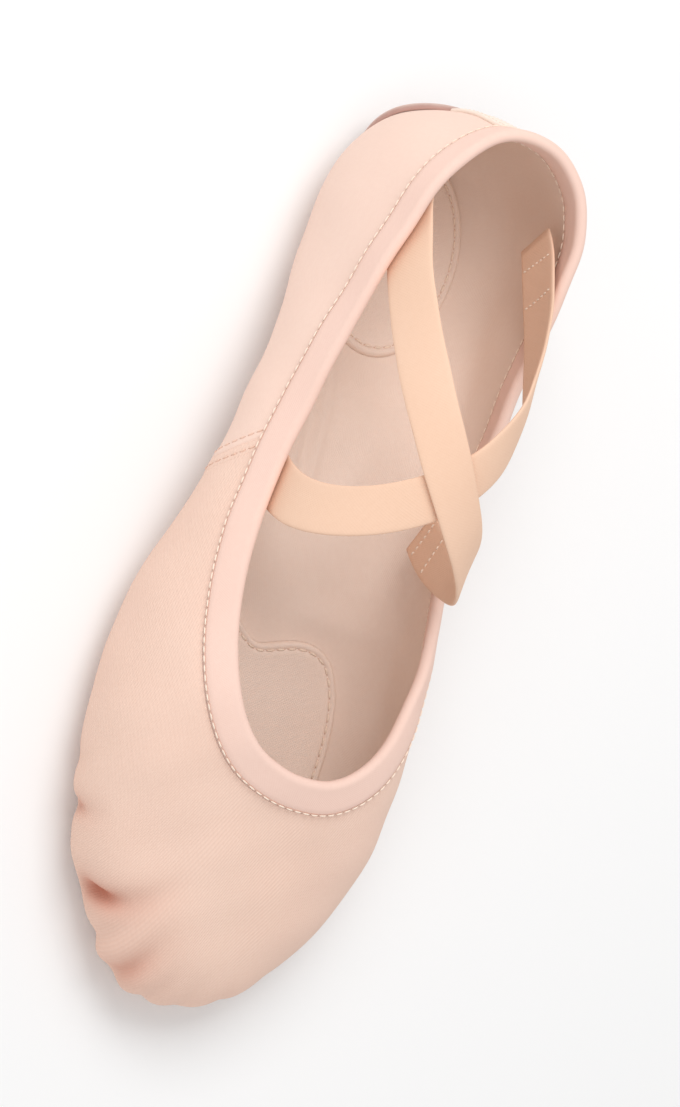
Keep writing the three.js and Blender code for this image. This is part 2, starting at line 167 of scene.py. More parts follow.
def evenly(grid, downs, count):
    """Each line of a grid of vectors, measured out afresh at evenly spaced shares of its length: all lines
    are laid end to end on one scale, and the vectors read off it by straight interpolation."""
    start = 2 * np.arange(len(grid))[:, None]
    known = (start + downs / downs[:, -1:]).ravel()
    wanted = (start + np.linspace(0, 1, count)).ravel()
    axes = [np.interp(wanted, known, grid[..., axis].ravel()) for axis in range(3)]
    return np.stack(axes, -1).reshape(len(grid), count, 3)


places_per_section = 36
skin_rows = 260
raw_places = np.arange(loop * places_per_section) / places_per_section
raw = last_lines(raw_places, wall_steps=90, sole_steps=110)
across_way = np.roll(raw, -1, 0) - np.roll(raw, 1, 0)
outward = unit(np.cross(np.gradient(raw, axis=1), across_way))
bed_slope = (bed_at(raw[:, -1, 0] + mm) - bed_at(raw[:, -1, 0] - mm)) / (2 * mm)
outward[:, -1] = unit(np.stack([bed_slope, 0 * bed_slope, 0 * bed_slope - 1], -1))
paces = np.linalg.norm(np.diff(raw, axis=1), axis=2)
downs = np.concatenate([np.zeros((len(raw), 1)), np.cumsum(paces, axis=1)], axis=1)
line_length = downs[:, -1]
last = evenly(raw, downs, skin_rows)
last_out = unit(evenly(outward, downs, skin_rows))
low_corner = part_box("upper")[0]
last[..., 0] += low_corner.x - last[..., 0].min()
last[..., 1] += low_corner.y - last[..., 1].min()
heel_x = last[..., 0].min()
middle_y = last[0, 0, 1]


def slackness(points):
    """How far soft canvas stands off its smooth form: three slow waves, which fade out towards the floor."""
    x, y, z = np.moveaxis(points, -1, 0) * 2 * math.pi
    waves = (0.24 * np.sin(x / 0.052 + y / 0.090 + z / 0.071)
             + 0.16 * np.sin(x / 0.029 - y / 0.060 - z / 0.041 + 1.3)
             + 0.08 * np.sin(x / 0.017 + y / 0.021 + 4.0))
    return waves * mm * smoothstep(points[..., 2], 4 * mm, 14 * mm)


last += last_out * slackness(last)[..., None]
edge_up = unit(last[:, 0] - last[:, 1])


def column_at(place):
    """The two worked out lines beside a place round the loop, and the share of the way between them."""
    column = (np.asarray(place, float) % loop) * places_per_section
    before = np.floor(column).astype(int) % len(last)
    return before, (before + 1) % len(last), column - np.floor(column)


def length_at(place):
    """Length of the line from the collar edge to the middle of the sole at a place round the loop."""
    before, after, share = column_at(place)
    return line_length[before] * (1 - share) + line_length[after] * share


def skin(place, down, out=0.0):
    """Points on the canvas's outer face, moved out from it, and the outward directions there. place runs
    round the loop: 0 heel, 5 outer side, 10 toe, 15 inner side. down is measured from the collar edge.
    Each is the weighted mean of the four nearest worked out points. Above the edge the line goes on
    straight."""
    place, down, out = np.broadcast_arrays(np.asarray(place, float), down, out)
    before, after, share = column_at(place)
    row = np.clip(down / length_at(place), 0, 1) * (skin_rows - 1)
    upper_row = np.minimum(row.astype(int), skin_rows - 2)
    s = share[..., None]
    t = (row - upper_row)[..., None]

    def mean(grid):
        """Weighted mean of a grid's four vectors round each place."""
        above = grid[before, upper_row] * (1 - s) + grid[after, upper_row] * s
        below = grid[before, upper_row + 1] * (1 - s) + grid[after, upper_row + 1] * s
        return above * (1 - t) + below * t

    way = unit(mean(last_out))
    over = np.maximum(-down, 0)[..., None] * (edge_up[before] * (1 - s) + edge_up[after] * s)
    return mean(last) + over + way * out[..., None], way


# Upper, its mesh: like every piece of the shoe it is worked out as a grid of points with closed rows, whose
# two ends are capped, or welded where they meet, and its faces are turned outwards.
def grid_corners(rows, columns):
    """Row and column of the four corners of each face of a grid with closed rows: along, up, and back."""
    r, c = np.meshgrid(np.arange(rows - 1), np.arange(columns), indexing="ij")
    corner_rows = np.stack([r, r, r + 1, r + 1], -1).reshape(-1, 4)
    corner_columns = np.stack([c, c + 1, c + 1, c], -1).reshape(-1, 4)
    return corner_rows, corner_columns


def inside_out(points, faces):
    """True where the faces' signed volume, a sum of a times the cross product of b and c, is negative."""
    volume = 0.0
    for second in range(1, 3):
        a, b, c = [points[faces[:, i]] for i in (0, second, second + 1)]
        volume += np.einsum("ij,ij->", a, np.cross(b, c))
    return volume < 0


def new_piece(name, points, materials, cloth, capped=False, welded=False, kinds=None, fold_shade=None):
    """A smooth mesh from one grid of points (rows, columns, 3), or from several (copies, rows, columns, 3).
    Each row is a closed ring. cloth gives each grid point's place on the cloth, with the first column once
    more as the last, kinds the number of each face's material, and the last argument each point's share of
    the painted shade in the folds."""
    grids = points.reshape(-1, *points.shape[-3:])
    copies, rows, columns = grids.shape[:3]
    corner_rows, corner_columns = grid_corners(rows, columns)
    quads = corner_rows * columns + corner_columns % columns
    first = grids[0].reshape(-1, 3)
    turned = inside_out(first - first.mean(0), quads)
    if turned:
        quads, corner_rows, corner_columns = quads[:, ::-1], corner_rows[:, ::-1], corner_columns[:, ::-1]
    offsets = rows * columns * np.arange(copies)[:, None, None]
    faces = (quads + offsets).reshape(-1, 4).tolist()
    cloth_rows = [np.tile(corner_rows.ravel(), copies)]
    cloth_columns = [np.tile(corner_columns.ravel(), copies)]
    for row, back in ((0, not turned), (rows - 1, turned)):
        if capped:
            cap = np.arange(columns)[::-1 if back else 1]
            faces += (row * columns + cap + offsets[:, 0]).tolist()
            cloth_rows.append(np.full(columns * copies, row))
            cloth_columns.append(np.tile(cap, copies))
    mesh = bpy.data.meshes.new(name)
    mesh.from_pydata(grids.reshape(-1, 3).tolist(), [], faces)
    layer = mesh.uv_layers.new(name="cloth")
    corners = cloth[np.concatenate(cloth_rows), np.concatenate(cloth_columns)]
    layer.data.foreach_set("uv", corners.ravel().astype(np.float32))
    if fold_shade is not None:
        layer = mesh.attributes.new("fold_shade", "FLOAT", "POINT")
        layer.data.foreach_set("value", fold_shade.ravel().astype(np.float32))
    for material in materials if isinstance(materials, list) else [materials]:
        mesh.materials.append(material)
    if kinds is not None:
        cap_kinds = np.zeros(len(faces) - len(kinds), int)
        mesh.polygons.foreach_set("material_index", np.append(kinds, cap_kinds))
    piece = bpy.data.objects.new(name, mesh)
    bpy.context.scene.collection.objects.link(piece)
    if welded:
        work = bmesh.new()
        work.from_mesh(mesh)
        bmesh.ops.remove_doubles(work, verts=work.verts, dist=1e-6)
        work.to_mesh(mesh)
        work.free()
    mesh.shade_smooth()
    mesh.update()
    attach(piece, "root")
    return piece


# Upper, its cloth: stretch canvas, peach-pink, matte and a little fuzzy, with a fine diagonal weave in the
# front piece, a plainer one in the rear piece, and a warm, dark painted shade down in the folds.
def node(tree, kind, at, settings=None, **inputs):
    """A node of the given kind with its settings and its inputs, which are values or sockets."""
    made = tree.nodes.new(kind)
    made.location = at
    for key, value in (settings or {}).items():
        setattr(made, key, value)
    for key, value in inputs.items():
        socket = made.inputs[key.replace("_", " ")]
        if isinstance(value, bpy.types.NodeSocket):
            tree.links.new(value, socket)
        else:
            socket.default_value = value
    return made


def new_group(name, inputs, outputs):
    """A shader node group with named inputs, each with a type and a value, and named outputs."""
    group = bpy.data.node_groups.new(name, "ShaderNodeTree")
    for label, (kind, value) in inputs.items():
        socket = group.interface.new_socket(label, in_out="INPUT", socket_type=kind)
        if value is not None:
            socket.default_value = value
    for label, kind in outputs.items():
        group.interface.new_socket(label, in_out="OUTPUT", socket_type=kind)
    return group, group.nodes.new("NodeGroupInput"), group.nodes.new("NodeGroupOutput")


def math_node(tree, operation, first, second=None, third=None):
    """The result of one arithmetic step."""
    made = tree.nodes.new("ShaderNodeMath")
    made.operation = operation
    for socket, value in zip(made.inputs, (first, second, third)):
        if isinstance(value, bpy.types.NodeSocket):
            tree.links.new(value, socket)
        elif value is not None:
            socket.default_value = value
    return made.outputs[0]


def weave_group():
    """Woven cloth: Height is the height of the threads, a product of two waves at right angles, which turns
    to slanted ribs as Twill goes to 1. Threads varies from thread to thread."""
    group, given, result = new_group(
        "woven cloth",
        {
            "Place": ("NodeSocketVector", None),
            "Pitch": ("NodeSocketFloat", 0.8 * mm),
            "Twill": ("NodeSocketFloat", 1.0),
        },
        {"Height": "NodeSocketFloat", "Threads": "NodeSocketFloat"},
    )
    turns = math_node(group, "DIVIDE", 2 * math.pi, given.outputs["Pitch"])
    parts = node(group, "ShaderNodeSeparateXYZ", (0, 0), Vector=given.outputs["Place"])
    along = math_node(group, "MULTIPLY", parts.outputs[0], turns)
    across = math_node(group, "MULTIPLY", parts.outputs[1], turns)
    warp = math_node(group, "COSINE", along)
    weft = math_node(group, "COSINE", across)
    plain = math_node(group, "MULTIPLY", warp, weft)
    slant = math_node(group, "COSINE", math_node(group, "ADD", along, across))
    rib = math_node(group, "MULTIPLY_ADD", weft, 0.35, slant)
    height = node(group, "ShaderNodeMix", (0, 0), Factor=given.outputs["Twill"], A=plain, B=rib)
    half = math_node(group, "MULTIPLY_ADD", height.outputs[0], 0.5, 0.5)
    grain = node(group, "ShaderNodeTexNoise", (0, 0), {"noise_dimensions": "3D"},
                 Vector=given.outputs["Place"], Scale=700.0, Detail=2.0)
    group.links.new(half, result.inputs["Height"])
    group.links.new(grain.outputs[0], result.inputs["Threads"])
    return group


woven_cloth = weave_group()


def linear(red, green, blue):
    """A colour given as it looks on a screen, 0 to 255, as the light that it stands for."""
    share = np.array([red, green, blue]) / 255
    light = np.where(share <= 0.04045, share / 12.92, ((share + 0.055) / 1.055) ** 2.4)
    return (*light, 1.0)


def new_material(name, **values):
    """A material with plain values on its shader's own sockets, with its nodes and its shader."""
    material = bpy.data.materials.new(name)
    material.use_nodes = True
    shader = material.node_tree.nodes["Principled BSDF"]
    for key, value in values.items():
        shader.inputs[key.replace("_", " ")].default_value = value
    return material, material.node_tree, shader


def colour_mix(tree, at, factor, first, second):
    """A mix of two colours by a factor from 0 to 1. Each is a socket, or a colour as it looks on a screen."""
    mix = node(tree, "ShaderNodeMix", at, {"data_type": "RGBA", "clamp_factor": True}, Factor=factor)
    for socket, colour in ((mix.inputs[6], first), (mix.inputs[7], second)):
        if isinstance(colour, bpy.types.NodeSocket):
            tree.links.new(colour, socket)
        else:
            socket.default_value = linear(*colour)
    return mix.outputs[2]


# Painted shade in the folds of the canvas: a warm, dark colour, mixed in by each point's share of it.
fold_shade_colour = (198, 122, 98)


def cloth_material(name, light, shade, pitch, twill, depth, slant=0.0):
    """Matte woven cloth between a light and a shade colour, mixed by soft patches, thread ends and the weave,
    whose low threads take painted shade; the weave is in bump too. The piece's attribute of painted fold
    shade mixes it towards the warm, dark colour that is painted as shade in the folds."""
    material, tree, shader = new_material(name, Specular_IOR_Level=0.25, Sheen_Weight=0.2,
                                          Sheen_Roughness=0.5, Sheen_Tint=linear(*light))
    place = node(tree, "ShaderNodeUVMap", (-1200, 0), {"uv_map": "cloth"})
    turn = node(tree, "ShaderNodeMapping", (-1000, 0), Vector=place.outputs[0], Rotation=(0, 0, slant))
    weave = node(tree, "ShaderNodeGroup", (-800, 0), {"node_tree": woven_cloth},
                 Place=turn.outputs[0], Pitch=pitch, Twill=twill)
    body = node(tree, "ShaderNodeTexCoord", (-1200, -300))
    patches = node(tree, "ShaderNodeTexNoise", (-800, -300), Vector=body.outputs["Object"], Scale=28.0,
                   Detail=3.0)
    mixed = math_node(tree, "MULTIPLY_ADD", patches.outputs[0], 0.7, -0.05)
    mixed = math_node(tree, "MULTIPLY_ADD", weave.outputs["Threads"], 0.35, mixed)
    # The weave's low threads take more of the shade colour: painted shade in its hollows.
    mixed = math_node(tree, "MULTIPLY_ADD", weave.outputs["Height"], -0.18, mixed)
    tone = colour_mix(tree, (-300, 100), mixed, light, shade)
    # Painted shade in the folds: the piece's attribute mixes the tone towards the fold shade colour.
    fold_shade = node(tree, "ShaderNodeAttribute", (-600, 400), {"attribute_name": "fold_shade"})
    fold_shaded = colour_mix(tree, (-100, 200), fold_shade.outputs["Fac"], tone, fold_shade_colour)
    tree.links.new(fold_shaded, shader.inputs["Base Color"])
    rough = math_node(tree, "MULTIPLY_ADD", weave.outputs["Threads"], 0.12, 0.8)
    tree.links.new(rough, shader.inputs["Roughness"])
    height = math_node(tree, "MULTIPLY_ADD", weave.outputs["Threads"], 0.5, weave.outputs["Height"])
    bump = node(tree, "ShaderNodeBump", (-300, -300), Strength=0.5, Distance=depth, Height=height)
    tree.links.new(bump.outputs[0], shader.inputs["Normal"])
    return material


front_canvas = cloth_material("front_canvas", (247, 216, 199), (238, 199, 180), 1.05 * mm, 1.0, 0.15 * mm,
                              slant=math.radians(-30))
# The rear piece's colours are a touch paler than the front piece's: painted light, as more light falls on the
# heel side.
rear_canvas = cloth_material("rear_canvas", (248, 220, 205), (240, 205, 189), 0.6 * mm, 0.1, 0.06 * mm)
lining_cloth = cloth_material("lining_cloth", (247, 229, 216), (236, 210, 194), 0.7 * mm, 0.2, 0.06 * mm)

# Upper, its folds: the canvas is gathered in pleats round the toe, deepest at the outer edge of the toe, and
# creased under the arch. Each fold runs from a place and share of the line down, where it is deepest, to
# another, where it dies out. Width and depth are in mm, and the last column is its share of painted shade.
fold_names = "from_place from_share to_place to_share width depth warmth".split()
fold_rows = [
    (8.40, 0.575, 9.30, 0.27, 3.4, 1.5, 0.40),
    (8.40, 0.575, 8.72, 0.45, 1.8, 2.5, 0.55),
    (8.05, 0.60, 8.20, 0.36, 5.0, -0.9, 0.0),
    (7.64, 0.575, 7.82, 0.38, 2.8, 1.3, 0.20),
    (7.62, 0.57, 7.72, 0.48, 1.4, 1.1, 0.35),
    (7.20, 0.60, 7.34, 0.42, 3.2, 0.9, 0.10),
    (8.86, 0.64, 8.96, 0.38, 3.0, 1.3, 0.10),
    (9.08, 0.66, 9.16, 0.44, 3.6, -0.7, 0.0),
    (9.34, 0.62, 9.50, 0.34, 3.8, 1.5, 0.30),
    (9.36, 0.60, 9.46, 0.46, 2.0, 0.9, 0.20),
    (9.62, 0.68, 9.66, 0.46, 3.4, -0.6, 0.0),
    (9.88, 0.68, 9.96, 0.42, 2.8, 1.1, 0.10),
    (10.4, 0.68, 10.4, 0.44, 3.0, 0.9, 0.08),
    (10.95, 0.68, 10.85, 0.44, 2.8, 1.0, 0.08),
    (11.55, 0.66, 11.4, 0.46, 3.2, 0.8, 0.06),
    (12.2, 0.64, 12.1, 0.46, 2.8, 0.9, 0.06),
    (12.9, 0.60, 12.8, 0.44, 3.2, 0.7, 0.06),
    (4.74, 0.93, 2.40, 0.80, 2.2, 1.6, 0.16),
    (4.66, 0.85, 2.50, 0.62, 2.4, 1.5, 0.16),
    (4.70, 0.89, 2.50, 0.71, 2.2, -0.9, 0.0),
    (4.50, 0.76, 3.20, 0.50, 3.0, 0.7, 0.06),
    (15.4, 0.90, 16.4, 0.76, 3.0, 0.8, 0.08),
    (5.40, 0.80, 5.30, 0.30, 4.0, 0.7, 0.0),
    (14.6, 0.80, 14.7, 0.34, 4.0, 0.7, 0.0),
]


def folds(points):
    """How far the canvas is pressed in at points, and how much painted shade of the folds lies there: for
    each fold a bell curve of the distance to its path of straight pieces on the canvas, times a smooth step
    from 1 at its deep end to 0 at its other end. The painted shade's bell is half as wide again."""
    pressed = np.zeros(points.shape[:-1])
    warmth = np.zeros(points.shape[:-1])
    steps = np.linspace(0, 1, 7)
    for row in fold_rows:
        fold = dict(zip(fold_names, row))
        place = fold["from_place"] + (fold["to_place"] - fold["from_place"]) * steps
        share = fold["from_share"] + (fold["to_share"] - fold["from_share"]) * steps
        path, _ = skin(place, share * length_at(place))
        gap = np.full(points.shape[:-1], np.inf)
        along = np.zeros(points.shape[:-1])
        for number, way in enumerate(np.diff(path, axis=0)):
            part = np.clip((points - path[number]) @ way / (way @ way), 0, 1)
            piece_gap = np.linalg.norm(points - path[number] - part[..., None] * way, axis=-1)
            along = np.where(piece_gap < gap, (number + part) / (len(steps) - 1), along)
            gap = np.minimum(piece_gap, gap)
        gap /= fold["width"] * mm
        fade = 1 - smoothstep(along, 0.1, 1.0)
        pressed += fold["depth"] * mm * np.exp(-(gap**2)) * fade
        warmth += fold["warmth"] * np.exp(-((gap / 1.5) ** 2)) * fade
    return pressed, np.minimum(warmth, 1)


upper_columns = 460
outer_rows = 112
inner_rows = 44
seam_collar_place = 4.43
seam_sole_place = 4.95


def seam_place(share):
    """Place of the side seam round the outer side of the loop: further towards the toe the further down, by a
    quarter of a sine wave."""
    return seam_collar_place + (seam_sole_place - seam_collar_place) * np.sin(share * math.pi / 2)


def upper_grid():
    """The canvas sock as one grid: up its outer face from the middle of the sole, over the edge, and down its
    inner face to the middle again. The folds press both faces in."""
    place = np.arange(upper_columns) / upper_columns * loop
    reach = length_at(place)
    up = (1 - np.linspace(0, 1, outer_rows))[:, None] * reach
    down = np.linspace(0, 1, inner_rows)[:, None] * reach
    outer, outer_way = skin(place, up)
    inner, inner_way = skin(place, down, -canvas)
    pressed, warmth = folds(outer)
    outer = outer - outer_way * pressed[..., None]
    inner = inner - inner_way * folds(inner + inner_way * canvas)[0][..., None]
    # The painted shade of the folds lies on the outer face only.
    warmth = np.concatenate([warmth, np.zeros(inner.shape[:2])])
    return np.concatenate([outer, inner]), np.concatenate([up, down]), place, warmth


def cloth_places(place, down):
    """Where a point of the canvas lies on the cloth, opened flat from the collar: the collar edge in plan,
    then straight out from it by the distance down."""
    before, after, share = column_at(place)
    s = share[..., None]
    edge = (last[before, 0] * (1 - s) + last[after, 0] * s)[..., :2]
    tangent = (np.roll(last[:, 0], -6, 0) - np.roll(last[:, 0], 6, 0))[..., :2]
    tangent = unit(tangent[before] * (1 - s) + tangent[after] * s)
    inward = np.stack([-tangent[..., 1], tangent[..., 0]], -1)
    return edge - inward * down[..., None]


upper_points, upper_down, upper_place, upper_painted_shade = upper_grid()
wrapped = np.append(np.arange(upper_columns), 0)
wrapped_place = np.broadcast_to(upper_place[wrapped], (len(upper_down), len(wrapped)))
upper_cloth = cloth_places(wrapped_place, upper_down[:, wrapped])
face_place = (upper_place + loop / upper_columns / 2)[None, :]
face_share = upper_down[:-1] / length_at(upper_place)
in_front = np.abs(face_place - toe) < toe - seam_place(face_share)
face_inside = (np.arange(len(upper_down) - 1) >= outer_rows - 1)[:, None]
upper_kinds = np.where(face_inside, 2, np.where(in_front, 0, 1)).ravel()
canvas_upper = new_piece("canvas_upper", upper_points, [front_canvas, rear_canvas, lining_cloth],
                         upper_cloth, welded=True, kinds=upper_kinds, fold_shade=upper_painted_shade)
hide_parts("upper")

# Collar binding: one tape of fine cotton folded over the collar edge, as far down inside as outside. One row
# of stitches along its two edges holds it to the canvas.
binding_width = 7.5 * mm
binding_tape = 0.8 * mm
binding_gap = 0.09 * mm
binding_cloth = cloth_material("binding_cloth", (246, 214, 200), (238, 200, 185), 0.6 * mm, 0.0, 0.05 * mm)


def binding_section(straight, round_top):
    """Closed section of the folded tape as distances down and out: outside face from its lower edge up, half
    a circle over the canvas edge, inside face down, and back along the canvas. The tape's thickness is that
    of a quarter circle at its two edges."""
    side = np.linspace(1, 0, straight) ** 1.3
    angle = np.linspace(0, math.pi, round_top + 2)[1:-1]
    to_edge = (1 - side) * binding_width
    thick = binding_tape * np.sqrt(1 - (1 - np.clip(to_edge / (0.9 * mm), 0, 1)) ** 2)
    bulge = 0.08 * mm * np.sin(math.pi * np.clip(to_edge / binding_width, 0, 1)) ** 2
    outer = np.stack([side * binding_width, binding_gap + thick + bulge], -1)
    radius = canvas / 2 + binding_gap + binding_tape
    top = np.stack([-radius * np.sin(angle), -canvas / 2 + radius * np.cos(angle)], -1)
    inner = outer[::-1] * (1, -1) - (0, canvas)
    low, high, near = 0.9 * binding_width, 0.1 * binding_width, 0.06 * mm
    back = np.array([(low, -canvas - near), (high, -canvas - near), (high, near), (low, near)])
    return np.concatenate([outer, top, inner, back])


def carried_round(section, columns):
    """A section of distances down and out, carried round the whole collar."""
    place = np.arange(columns) / columns * loop
    points, _ = skin(place[:, None], section[:, 0], section[:, 1])
    return points


def grid_cloth(points):
    """Cloth places on a grid that is carried along a path: metres along and metres round the closed section,
    each summed from the mean pace."""
    wide = np.concatenate([points, points[:, :1]], axis=1)
    round_pace = np.linalg.norm(np.diff(wide, axis=1), axis=2).mean(0)
    along_pace = np.linalg.norm(np.diff(points, axis=0), axis=2).mean(1)
    v = np.concatenate([[0], np.cumsum(round_pace)])
    u = np.concatenate([[0], np.cumsum(along_pace)])
    return np.stack(np.broadcast_arrays(u[:, None], v), -1)


binding_points = carried_round(binding_section(straight=9, round_top=8), columns=640)
binding_points = np.concatenate([binding_points, binding_points[:1]])
collar_tape = new_piece("collar_tape", binding_points, binding_cloth,
                        grid_cloth(binding_points), welded=True)
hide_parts("collar_binding")


def thread_material(name, thread, hole_shade):
    """Twisted cotton thread in its own colour on its middle, with painted shade where its ends go down into
    their holes.
    """
    material, tree, shader = new_material(name, Specular_IOR_Level=0.3, Roughness=0.7)
    place = node(tree, "ShaderNodeUVMap", (-1200, 0), {"uv_map": "cloth"})
    parts = node(tree, "ShaderNodeSeparateXYZ", (-1000, 0), Vector=place.outputs[0])
    end = node(tree, "ShaderNodeMapRange", (-800, 0), {"interpolation_type": "SMOOTHSTEP"},
               Value=parts.outputs[0], From_Min=0.45, From_Max=1.0)
    # Painted shade at the ends of each stitch, where the thread goes down into its hole.
    tone = colour_mix(tree, (-400, 0), end.outputs[0], thread, hole_shade)
    tree.links.new(tone, shader.inputs["Base Color"])
    twist = math_node(tree, "ADD", math_node(tree, "MULTIPLY", parts.outputs[0], 14.0),
                      math_node(tree, "MULTIPLY", parts.outputs[1], 12.57))
    bump = node(tree, "ShaderNodeBump", (-300, -300), Strength=0.4, Distance=0.05 * mm,
                Height=math_node(tree, "SINE", twist))
    tree.links.new(bump.outputs[0], shader.inputs["Normal"])
    return material


pale_thread = thread_material("pale_thread", (254, 234, 216), (228, 192, 172))
tape_thread = thread_material("tape_thread", (253, 236, 222), (216, 180, 162))
canvas_thread = thread_material("canvas_thread", (243, 208, 188), (178, 122, 104))
suede_thread = thread_material("suede_thread", (208, 184, 172), (92, 64, 58))


def stitches(name, rows, material, pitch, gap, thread):
    """Rows of stitches, each row a path of points and outward directions. A stitch is a bent rod with five
    rings of six points, which bows up in the middle and dips at its ends, by the fourth power of the way."""
    rods = []
    share = np.linspace(-1, 1, 5)
    angle = np.arange(6) * math.pi / 3
    for path, ways in rows:
        along = np.concatenate([[0], np.cumsum(np.linalg.norm(np.diff(path, axis=0), axis=1))])
        count = max(int(round(along[-1] / pitch)), 1)
        pace = along[-1] / count
        at = ((np.arange(count) + 0.5) * pace)[:, None] + share * (pace - gap) / 2
        point = np.stack([np.interp(at, along, path[:, axis]) for axis in range(3)], -1)
        way = unit(np.stack([np.interp(at, along, ways[:, axis]) for axis in range(3)], -1))
        side = unit(np.cross(way, np.gradient(point, axis=1)))
        rise = thread * (0.30 - 0.62 * share**4)
        radius = thread / 2 * np.sqrt(1 - 0.8 * share**6)
        ring_rise = rise[:, None] + radius[:, None] * np.sin(angle)
        ring_side = radius[:, None] * np.cos(angle)
        ring = way[:, :, None] * ring_rise[..., None] + side[:, :, None] * ring_side[..., None]
        rods.append(point[:, :, None] + ring)
    # Cloth places run from 0 at each stitch's middle to 1 at its ends, which the thread material paints in
    # shade.
    ends = np.stack(np.broadcast_arrays(np.abs(share)[:, None], np.arange(7) / 6), -1)
    return new_piece(name, np.concatenate(rods), material, ends, capped=True)


around_collar = np.linspace(0, loop, 900)
stitch_down = binding_width - 0.55 * mm
stitch_out = binding_gap + binding_tape * 0.92
lower_edge, lower_way = skin(around_collar, stitch_down, -canvas - stitch_out)
stitches("binding_stitches", [
    skin(around_collar, stitch_down, stitch_out),
    (lower_edge, -lower_way),
], pale_thread, pitch=2.4 * mm, gap=0.18 * mm, thread=0.38 * mm)

# Side seam: front and rear piece butt together from collar to collar under the arch, on a band of canvas that
# is stitched down on either side of the join.
seam_half = 3.7 * mm
seam_row = 2.3 * mm
seam_start = binding_width - 0.8 * mm


def seam_skin(way, offset, out):
    """Points of the side seam. way goes from -1 at the outer collar over 0 in the middle of the sole to 1 at
    the inner collar, and offset towards the toe, turned to places by the distance between the lines there."""
    way, offset, out = np.broadcast_arrays(way, offset, out)
    inner = way > 0
    middle = seam_place(1 - np.abs(way))
    middle = np.where(inner, loop - middle, middle)
    reach = length_at(middle)
    share = 1 - np.abs(way) * (1 - seam_start / reach)
    middle = seam_place(share)
    middle = np.where(inner, loop - middle, middle)
    small = 0.02
    ahead, _ = skin(middle + small, share * length_at(middle + small))
    behind, _ = skin(middle - small, share * length_at(middle - small))
    pace = np.linalg.norm(ahead - behind, axis=-1) / (2 * small)
    place = middle + np.where(inner, -1, 1) * offset / pace
    down = share * length_at(place)
    points, ways = skin(place, down, out)
    return points, ways, place, down


def seam_height(offset):
    """Height of the band above the canvas: a low swell that melts into it at the edges, with a sharp groove
    at the join and a shallow one under each row of stitches, each a bell curve."""
    swell = 0.28 * mm * (1 - (offset / seam_half) ** 4) + 0.02 * mm
    join = 0.30 * mm * np.exp(-((offset / (0.32 * mm)) ** 2))
    rows = sum(np.exp(-(((offset - side * seam_row) / (0.5 * mm)) ** 2)) for side in (-1, 1))
    return swell - join - 0.14 * mm * rows


def band(name, surface, height, base, across, materials, kinds=None):
    """A band on the canvas: surface gives points for steps along and offsets across. The section is the
    band's height above the canvas, and back along its underside."""
    top_points, _, place, down = surface(across, height)
    under_points = surface(across[1:-1][::-1], np.full(len(across) - 2, base))[0]
    points = np.concatenate([top_points, under_points], axis=1)
    cloth = cloth_places(place, down)
    cloth = np.concatenate([cloth, cloth[:, -2:0:-1], cloth[:, :1]], axis=1)
    return new_piece(name, points, materials, cloth, capped=True, kinds=kinds)


half_across = np.array([0, 0.12, 0.26, 0.45, 0.7, 1.1, 1.5, 1.8, 2.05, 2.3, 2.55, 2.8, 3.1, 3.4, 3.6, 3.7])
half_across *= mm
seam_across = np.concatenate([-half_across[:0:-1], half_across])
seam_ways = np.linspace(-1, 1, 181)[:, None]
seam_columns = 2 * len(seam_across) - 2
seam_kinds = np.where(np.arange(seam_columns) < len(half_across) - 1, 1, 0)
band("side_seam", lambda offset, out: seam_skin(seam_ways, offset, out), seam_height(seam_across), -0.3 * mm,
     seam_across, [front_canvas, rear_canvas], np.tile(seam_kinds, len(seam_ways) - 1))
row_ways = np.linspace(-0.985, 0.985, 400)
stitches("side_seam_stitches", [
    seam_skin(row_ways, side * seam_row, seam_height(side * seam_row))[:2] for side in (-1, 1)
], canvas_thread, pitch=2.6 * mm, gap=0.5 * mm, thread=0.42 * mm)

# Suede outsole patches: one under ball and toes and one that wraps the heel. Each is split suede with a
# rounded cut edge, sewn to the canvas by a row of stitches in a groove, and worn flat at the floor.
sole_patch = {"rear": 0.600, "front": 0.955, "width": 60 * mm, "dip": 5 * mm}
heel_patch = {"length": 36 * mm, "width": 40 * mm, "tilt": math.radians(40)}


def bezier(points, count):
    """Points on a cubic Bezier curve, without its last one."""
    t = np.linspace(0, 1, count, endpoint=False)[:, None]
    a, b, c, d = np.array(points)
    return (1 - t) ** 3 * a + 3 * (1 - t) ** 2 * t * b + 3 * (1 - t) * t**2 * c + t**3 * d


def forefoot_outline(rear, front, count=40):
    """Outline of a pad under ball and toes, from its rear middle round the outer side: lobed at the rear with
    a shallow dip in the middle, full at the ball and round at the toe, as three curves and their mirror."""
    half = sole_patch["width"] / 2
    dip = sole_patch["dip"]
    span = front - rear
    middle = middle_at((rear + front) / 2)
    curves = [
        [(rear + dip, 0), (rear + dip, 0.14), (rear - dip * 0.9, 0.42), (rear + dip * 0.4, 0.72)],
        [(rear + dip * 0.4, 0.72), (rear + dip * 2, 1), (rear + span * 0.3, 1), (rear + span * 0.5, 1)],
        [(rear + span * 0.5, 1), (rear + span * 0.8, 1), (front, 0.55), (front, 0)],
    ]
    one_side = np.concatenate([bezier(curve, count) for curve in curves])
    tip = np.array([[front, 0]])
    outline = np.concatenate([one_side * (1, -1), np.concatenate([tip, one_side[:0:-1]])])
    return np.stack([outline[:, 0], middle + half * outline[:, 1]], -1)


